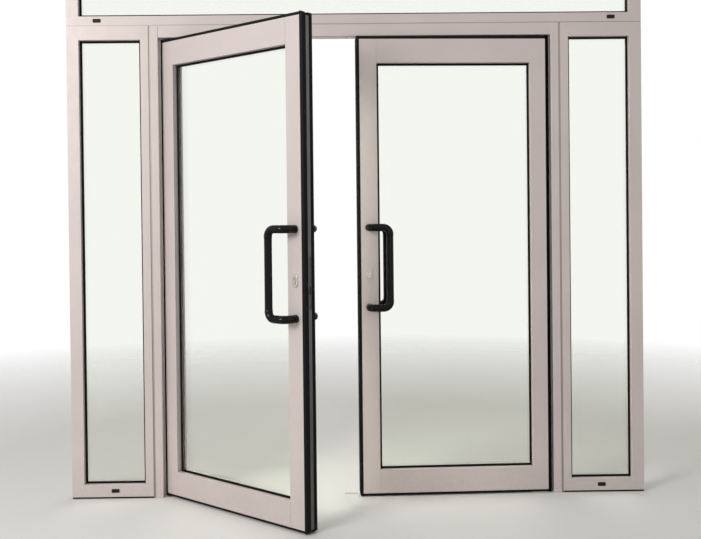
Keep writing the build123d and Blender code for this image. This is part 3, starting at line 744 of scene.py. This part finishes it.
class DOOR_OT_soften_bars(bpy.types.Operator):
    """Break the edges of the aluminium bars, which also opens a fine joint line where two bars meet"""

    bl_idname = "door.soften_bars"
    bl_label = "Soften Bars"

    def execute(self, context):
        sizes = context.scene.door_sizes
        flat_angle, sharp_angle = math.radians(0.5), math.radians(50)
        shortest = 5 * MM
        for node, slot in SLOT_OF.items():
            if slot != "coated_aluminium":
                continue
            bm = merged_copy(node)
            bmesh.ops.dissolve_limit(bm, angle_limit=flat_angle, verts=bm.verts, edges=bm.edges)
            sharp = [
                edge
                for edge in bm.edges
                if len(edge.link_faces) == 2
                and edge.calc_face_angle(0) > sharp_angle
                and edge.calc_length() > shortest
            ]
            round_edges(bm, sharp, sizes.edge_break, clamp=True)
            add_piece(f"bar_{node}", bm, BODY_OF[node], slot, node, keep_flats=True)
        return {"FINISHED"}


class DOOR_OT_split_gaskets(bpy.types.Operator):
    """Part each frame's gaskets into the black outer ones and the light grey inner ones, whose pale colour is
    partly painted light
    """

    bl_idname = "door.split_gaskets"
    bl_label = "Split Gaskets"

    def execute(self, context):
        # Behind this depth, from the bars' middle, lie only the inner gaskets
        inner_from = 15 * MM
        for place, side in (("fixed", None), ("leaf_left", "left"), ("leaf_right", "right")):
            node = f"seals_{place}"
            back = leaf_place(side).inverted() if side else Matrix.Translation((0, -BAR_MIDDLE, 0))
            # The inner gaskets get the pale finish, partly painted light that stands for light through the
            # panes
            for layer, inner, finish in (("outer", False, None), ("inner", True, "inner_rubber_painted_lit")):
                bm = merged_copy(node)
                for group in islands(bm):
                    depths = [(back @ vert.co).y for vert in group]
                    if (min(depths) > inner_from) != inner:
                        bmesh.ops.delete(bm, geom=list(group), context="VERTS")
                stands_for = () if inner else (node,)
                name = f"{layer}_gaskets_{place}"
                add_piece(name, bm, BODY_OF[node], "sealing_rubber", *stands_for, finish=finish)
        return {"FINISHED"}


class DOOR_OT_make_lips(bpy.types.Operator):
    """Make the lips of the leaves' edges, rounded and grooved, and the flat strips between them"""

    bl_idname = "door.make_lips"
    bl_label = "Make Lips"

    def execute(self, context):
        sizes = context.scene.door_sizes
        for side in SIDES:
            boxes = solid_boxes(f"lip_seals_{side}", side)
            # Through the leaf's depth the strips are the thickest of the solids
            slack = 0.5 * MM
            thickest = max((high - low).y for low, high in boxes)
            lips = [box for box in boxes if (box[1] - box[0]).y < thickest - slack]
            strips = [box for box in boxes if box not in lips]
            bm = bmesh.new()
            for low, high in lips:
                self.add_lip(bm, low, high, sizes)
            close_holes(bm)
            bmesh.ops.transform(bm, matrix=leaf_place(side), verts=bm.verts)
            add_piece(f"edge_lips_{side}", bm, f"leaf_{side}", "sealing_rubber", f"lip_seals_{side}")
            bm = bmesh.new()
            for low, high in strips + self.strips_by_forend(strips, side):
                place = Matrix.Translation((low + high) / 2) @ Matrix.Diagonal((*(high - low), 1))
                bmesh.ops.create_cube(bm, size=1, matrix=place)
            round_edges(bm, bm.edges[:], sizes.strip_edge)
            bmesh.ops.transform(bm, matrix=leaf_place(side), verts=bm.verts)
            name, slot = f"edge_strips_{side}", "black_polyamide"
            add_piece(name, bm, f"leaf_{side}", slot, keep_flats=True, finish="dark_anodised")
        return {"FINISHED"}

    def strips_by_forend(self, strips, side):
        """Boxes of the narrow strips on both sides of the forend."""
        lower, upper = sorted(strips, key=lambda box: box[0].z)
        case_low, case_high = leaf_box(f"lock_case_{side}", side)
        clearance = 0.2 * MM
        bottom, top = lower[1].z + clearance, upper[0].z - clearance
        start, end = lower[0].x, lower[1].x
        front = (Vector((start, lower[0].y, bottom)), Vector((end, case_low.y - clearance, top)))
        back = (Vector((start, case_high.y + clearance, bottom)), Vector((end, lower[1].y, top)))
        return [front, back]

    def add_lip(self, bm, low, high, sizes):
        """Draw a grooved section out along the place of one lip, and round its ends at the lock edge."""
        size = high - low
        at_front = (low.y + high.y) < 0
        y = low.y if at_front else high.y
        inward = Y_AXIS if at_front else -Y_AXIS
        if size.z > size.x:
            start, outward, along, reach, length = (low.x, y, low.z), X_AXIS, Z_AXIS, size.x, size.z
            corner = sizes.lip_corner
        else:
            at_top = low.z > cad_high.z / 2
            start = (low.x, y, low.z if at_top else high.z)
            outward, along, reach, length = (Z_AXIS if at_top else -Z_AXIS), X_AXIS, size.z, size.x
            corner = 0
        start = Vector(start)
        section = self.lip_section(reach, size.y, sizes)
        ring = [bm.verts.new(start + outward * x + inward * depth) for x, depth in section]
        for first, second in zip(ring, ring[1:] + ring[:1]):
            bm.edges.new((first, second))
        lip = list(ring)
        steps = self.steps_round(corner, length) if corner else [0, length]
        for near, far in zip(steps, steps[1:]):
            ring = draw_out(bm, ring, along * (far - near))
            lip += ring
        if not corner:
            return
        for vert in lip:
            step = (vert.co - start).dot(along)
            inset = max(0, corner - min(step, length - step))
            limit = reach - corner + math.sqrt(max(0, corner**2 - inset**2))
            vert.co += outward * min(0, limit - (vert.co - start).dot(outward))

    def steps_round(self, corner, length):
        """Places of the rings along a lip whose ends are rounded."""
        near = [corner * (1 - math.cos(turn)) for turn in QUARTER_TURN]
        return near + [length - step for step in reversed(near)]

    def lip_section(self, reach, depth, sizes):
        """Outline of a lip: rounded outer corner and two grooves along the tip."""
        radius, groove = sizes.lip_radius, sizes.lip_groove
        points = [(0, 0)]
        for turn in QUARTER_TURN:
            points.append((reach - radius + radius * math.sin(turn), radius * (1 - math.cos(turn))))
        sunk = reach - groove / 2
        for i in (1, 2):
            start = radius + (depth - radius) * i / 3 - groove / 2
            points += [(reach, start), (sunk, start + groove / 4)]
            points += [(sunk, start + groove * 3 / 4), (reach, start + groove)]
        return points + [(reach, depth), (0, depth)]


class DOOR_OT_make_pulls(bpy.types.Operator):
    """Make the cranked pulls with their foot collars, elbows and joint grooves"""

    bl_idname = "door.make_pulls"
    bl_label = "Make Pulls"

    def execute(self, context):
        for side in SIDES:
            bm = self.half_pull(side, context.scene.door_sizes)
            low, high = leaf_box(f"pulls_{side}", side)
            mirror_all(bm, "Z", Vector((0, 0, (low.z + high.z) / 2)), TOUCHING)
            close_holes(bm)
            mirror_all(bm, "Y", Vector((0, (low.y + high.y) / 2, 0)), 0)
            bmesh.ops.transform(bm, matrix=leaf_place(side), verts=bm.verts)
            name, body = f"pull_pair_{side}", f"leaf_{side}"
            add_piece(name, bm, body, "black_nylon", f"pulls_{side}", smooth_below=50)
        return {"FINISHED"}

    def half_pull(self, side, sizes):
        """Upper half of the outside pull, from its foot to the middle of the grip."""
        low, high = leaf_box(f"pulls_{side}", side)
        face = leaf_box(f"lock_stile_{side}", side)[0].y
        middle = (low.z + high.z) / 2
        radius = self.tube_radius(side, face, middle)
        foot = Vector((high.x - radius, face, high.z - radius))
        grip_x = low.x + radius
        standoff = face - (low.y + radius)
        segments, groove_depth = 40, 0.5 * MM
        lower = (radius - groove_depth) / radius
        bm = bmesh.new()
        upright = Matrix.Translation(foot) @ Matrix.Rotation(math.radians(90), 4, "X")
        ring = start_ring(bm, radius, segments, upright)
        ring = draw_out(bm, ring, -Y_AXIS * (sizes.pull_collar - sizes.pull_groove))
        ring = draw_out(bm, ring, -Y_AXIS * sizes.pull_groove / 4, lower)
        ring = draw_out(bm, ring, -Y_AXIS * sizes.pull_groove / 2)
        ring = draw_out(bm, ring, -Y_AXIS * sizes.pull_groove / 4, 1 / lower)
        ring = draw_out(bm, ring, -Y_AXIS * (standoff - sizes.pull_collar - sizes.pull_bend))
        turn = Vector((foot.x - sizes.pull_bend, face - standoff + sizes.pull_bend, foot.z))
        ring = bend(bm, ring, turn, Z_AXIS, -math.pi / 2)
        ring = draw_out(bm, ring, -X_AXIS * (foot.x - grip_x - 2 * sizes.pull_bend))
        turn = Vector((grip_x + sizes.pull_bend, face - standoff, foot.z - sizes.pull_bend))
        ring = bend(bm, ring, turn, Y_AXIS, -math.pi / 2)
        rounding = sizes.pull_step / 2
        straight = sizes.pull_sleeve - sizes.pull_bend - rounding
        grip_radius = radius - sizes.pull_step
        groove_radius = grip_radius - sizes.pull_groove / 2
        ring = draw_out(bm, ring, -Z_AXIS * straight)
        ring = draw_out(bm, ring, -Z_AXIS * rounding, (radius - rounding) / radius)
        ring = draw_out(bm, ring, Vector(), groove_radius / (radius - rounding))
        ring = draw_out(bm, ring, -Z_AXIS * sizes.pull_groove)
        ring = draw_out(bm, ring, -Z_AXIS * sizes.pull_groove / 4, grip_radius / groove_radius)
        to_middle = height_of(ring) - middle
        draw_out(bm, ring, -Z_AXIS * to_middle)
        return bm

    def tube_radius(self, side, face, middle):
        """Radius of the tube, measured on the upper foot of the solid where it meets the leaf."""
        points = leaf_points(f"pulls_{side}", side)
        foot = [point for point in points if abs(point.y - face) < TOUCHING and point.z > middle]
        low, high = box_of(foot)
        return (high.z - low.z) / 2


class DOOR_OT_make_caps(bpy.types.Operator):
    """Make the drainage caps with a rounded rim and a sunk panel"""

    bl_idname = "door.make_caps"
    bl_label = "Make Drainage Caps"

    def execute(self, context):
        sizes = context.scene.door_sizes
        bm = bmesh.new()
        for low, high in solid_boxes("drain_caps"):
            size = high - low
            place = Matrix.Translation((low + high) / 2) @ Matrix.Diagonal((*size, 1))
            cap = bmesh.ops.create_cube(bm, size=1, matrix=place)["verts"]
            along_depth = [
                edge for edge in rim_of(cap) if abs((edge.verts[0].co - edge.verts[1].co).y) > size.y / 2
            ]
            round_edges(bm, along_depth, sizes.cap_corner, segments=6)
            outline = list({edge for face in self.front_faces(bm, low, high) for edge in face.edges})
            round_edges(bm, outline, sizes.cap_edge, segments=3)
            front = self.front_faces(bm, low, high)
            panel = max(front, key=lambda face: face.calc_area())
            bmesh.ops.inset_region(bm, faces=[panel], thickness=sizes.cap_rim)
            bmesh.ops.inset_region(bm, faces=[panel], thickness=sizes.cap_recess / 3, depth=-sizes.cap_recess)
        add_piece("drainage_caps", bm, "frame", "cap_plastic", "drain_caps")
        return {"FINISHED"}

    def front_faces(self, bm, low, high):
        """The faces of one cap, between its corners, that look straight to the front."""
        chosen, straight = [], 0.999
        for face in bm.faces:
            middle = face.calc_center_median()
            inside = low.x < middle.x < high.x and low.z < middle.z < high.z
            if inside and -face.normal.y > straight:
                chosen.append(face)
        return chosen


class DOOR_OT_make_screws(bpy.types.Operator):
    """Make the countersunk screws of the forends, pivot plates and keeps"""

    bl_idname = "door.make_screws"
    bl_label = "Make Screws"

    def execute(self, context):
        sizes = context.scene.door_sizes
        from_end = 11 * MM
        turned = Matrix.Rotation(math.radians(90), 4, "Y")
        for side in SIDES:
            low, high = leaf_box(f"lock_case_{side}", side)
            bm = bmesh.new()
            for z in (low.z + from_end, high.z - from_end):
                add_screw(bm, Matrix.Translation((high.x - sizes.screw_proud, 0, z)) @ turned, sizes)
            bmesh.ops.transform(bm, matrix=leaf_place(side), verts=bm.verts)
            add_piece(f"forend_screws_{side}", bm, f"leaf_{side}", "blackened_steel")
        bm = bmesh.new()
        for low, high in solid_boxes("pivot_and_keep_plates"):
            self.fix_plate(bm, low, high, sizes)
        add_piece("plate_screws", bm, "frame", "stainless_steel")
        return {"FINISHED"}

    def fix_plate(self, bm, low, high, sizes):
        """Screws near the ends of a keep, or at the corners of a pivot plate."""
        from_end, plate_thickness, keep_limit = 8 * MM, 2.5 * MM, 5 * MM
        middle = (low + high) / 2
        reach = (high.x - low.x) / 2 - from_end
        keep = high.z - low.z < keep_limit
        rows = (0,) if keep else (-1, 1)
        across = 0 if keep else (high.y - low.y) / 2 - from_end
        overhead = low.z > cad_high.z / 2
        if overhead:
            level, flip = low.z, Matrix.Rotation(math.pi, 4, "X")
        else:
            level, flip = (high.z if keep else low.z + plate_thickness), Matrix.Identity(4)
        for row in rows:
            for end in (-1, 1):
                place = Matrix.Translation((middle.x + end * reach, middle.y + row * across, level))
                add_screw(bm, place @ flip, sizes)


class DOOR_OT_set_stage(bpy.types.Operator):
    """Set the floor, the lamps, the even light and the camera of the photographed view"""

    bl_idname = "door.set_stage"
    bl_label = "Set Stage"

    def execute(self, context):
        stage = context.scene.door_stage
        self.lay_floor(context.scene.door_colours)
        for name, place, size, power in LAMPS:
            self.hang_lamp(name, place, size, getattr(stage, power))
        self.light_sky(stage.sky_strength)
        self.place_camera(context.scene)
        context.scene.view_settings.view_transform = "Standard"
        return {"FINISHED"}

    def lay_floor(self, colours):
        """A pale floor whose rim fades into the white surroundings."""
        bm = bmesh.new()
        below = 0.5 * MM
        bmesh.ops.create_grid(bm, x_segments=1, y_segments=1, size=FLOOR_REACH)
        bmesh.ops.translate(bm, verts=bm.verts, vec=(0, 0, cad_low.z - below))
        mesh = bpy.data.meshes.new("floor")
        bm.to_mesh(mesh)
        bm.free()
        material, tree, place = start_material("matt_floor")
        # The floor has a faint speckle of 10 mm
        speckle = noise(tree, place, 10 * MM, detail=4)
        colour = blend_colours(tree, speckle, shade(colours.floor, 0.98), colours.floor)
        matt = add_node(tree, "ShaderNodeBsdfPrincipled", {"Base Color": colour, "Roughness": 0.85})
        distance = add_node(tree, "ShaderNodeVectorMath", {0: place}, operation="LENGTH").outputs["Value"]
        fade = spread(tree, distance, *FLOOR_FADE, 0, 1)
        away = add_node(tree, "ShaderNodeBsdfTransparent", {})
        faded = add_node(
            tree, "ShaderNodeMixShader", {0: fade, 1: matt.outputs["BSDF"], 2: away.outputs["BSDF"]}
        )
        mesh.materials.append(end_material(material, faded.outputs["Shader"]))
        floor = bpy.data.objects.new("floor", mesh)
        bpy.context.scene.collection.objects.link(floor)

    def hang_lamp(self, name, place, size, power):
        """A square soft light aimed at the middle of the door."""
        light = bpy.data.lights.new(name, "AREA")
        light.energy = power
        light.size = size
        lamp = bpy.data.objects.new(name, light)
        aim = (cad_low + cad_high) / 2 - Vector(place)
        lamp.matrix_world = Matrix.Translation(place) @ aim.to_track_quat("-Z", "Y").to_matrix().to_4x4()
        lamp.visible_camera = False
        lamp.visible_transmission = False
        bpy.context.scene.collection.objects.link(lamp)

    def light_sky(self, strength):
        """Even light; the camera, mirrors and glass see it as plain white."""
        world = bpy.data.worlds.new("studio")
        world.use_nodes = True
        tree = world.node_tree
        tree.nodes.clear()
        path = add_node(tree, "ShaderNodeLightPath", {})
        seen = path.outputs["Is Camera Ray"]
        for kind in ("Is Glossy Ray", "Is Transmission Ray"):
            seen = add_node(
                tree, "ShaderNodeMath", {0: seen, 1: path.outputs[kind]}, operation="MAXIMUM"
            ).outputs["Value"]
        level = spread(tree, seen, 0, 1, strength, 1)
        sky = add_node(tree, "ShaderNodeBackground", {"Color": (1, 1, 1, 1), "Strength": level})
        add_node(tree, "ShaderNodeOutputWorld", {"Surface": sky.outputs["Background"]})
        bpy.context.scene.world = world

    def place_camera(self, scene):
        """The camera of the photographed view."""
        lens = bpy.data.cameras.new("camera")
        lens.sensor_width = SENSOR_WIDTH
        lens.lens = SENSOR_WIDTH * FOCAL_PIXELS / IMAGE_WIDTH
        lens.shift_y = -LENS_DROP_PIXELS / IMAGE_WIDTH
        camera = bpy.data.objects.new("camera", lens)
        camera.matrix_world = (
            Matrix.Translation(CAMERA_PLACE)
            @ Matrix.Rotation(-CAMERA_YAW, 4, "Z")
            @ Matrix.Rotation(math.pi / 2 - CAMERA_PITCH, 4, "X")
            @ Matrix.Rotation(-CAMERA_ROLL, 4, "Z")
        )
        scene.collection.objects.link(camera)
        scene.camera = camera


class DOOR_PT_panel(bpy.types.Panel):
    """Steps, sizes and colours of the entrance door"""

    bl_idname = "DOOR_PT_panel"
    bl_label = "Entrance Door"
    bl_space_type = "VIEW_3D"
    bl_region_type = "UI"
    bl_category = "Entrance Door"

    def draw(self, context):
        for operator in STEPS:
            self.layout.operator(operator.bl_idname)
        for group in (context.scene.door_sizes, context.scene.door_colours, context.scene.door_stage):
            for name in group.__annotations__:
                self.layout.prop(group, name)


STEPS = (
    DOOR_OT_finish_solids,
    DOOR_OT_soften_bars,
    DOOR_OT_split_gaskets,
    DOOR_OT_make_lips,
    DOOR_OT_make_pulls,
    DOOR_OT_make_caps,
    DOOR_OT_make_screws,
    DOOR_OT_set_stage,
)
GROUPS = {"door_sizes": DoorSizes, "door_colours": DoorColours, "door_stage": DoorStage}


def register():
    for made in (*GROUPS.values(), *STEPS, DOOR_PT_panel):
        bpy.utils.register_class(made)
    for name, group in GROUPS.items():
        setattr(bpy.types.Scene, name, bpy.props.PointerProperty(type=group))


def unregister():
    for name in GROUPS:
        delattr(bpy.types.Scene, name)
    for made in (DOOR_PT_panel, *reversed(STEPS), *reversed(list(GROUPS.values()))):
        bpy.utils.unregister_class(made)


def main():
    register()
    bpy.ops.door.finish_solids()
    bpy.ops.door.soften_bars()
    bpy.ops.door.split_gaskets()
    bpy.ops.door.make_lips()
    bpy.ops.door.make_pulls()
    bpy.ops.door.make_caps()
    bpy.ops.door.make_screws()
    bpy.ops.door.set_stage()


if __name__ == "__main__":
    main()
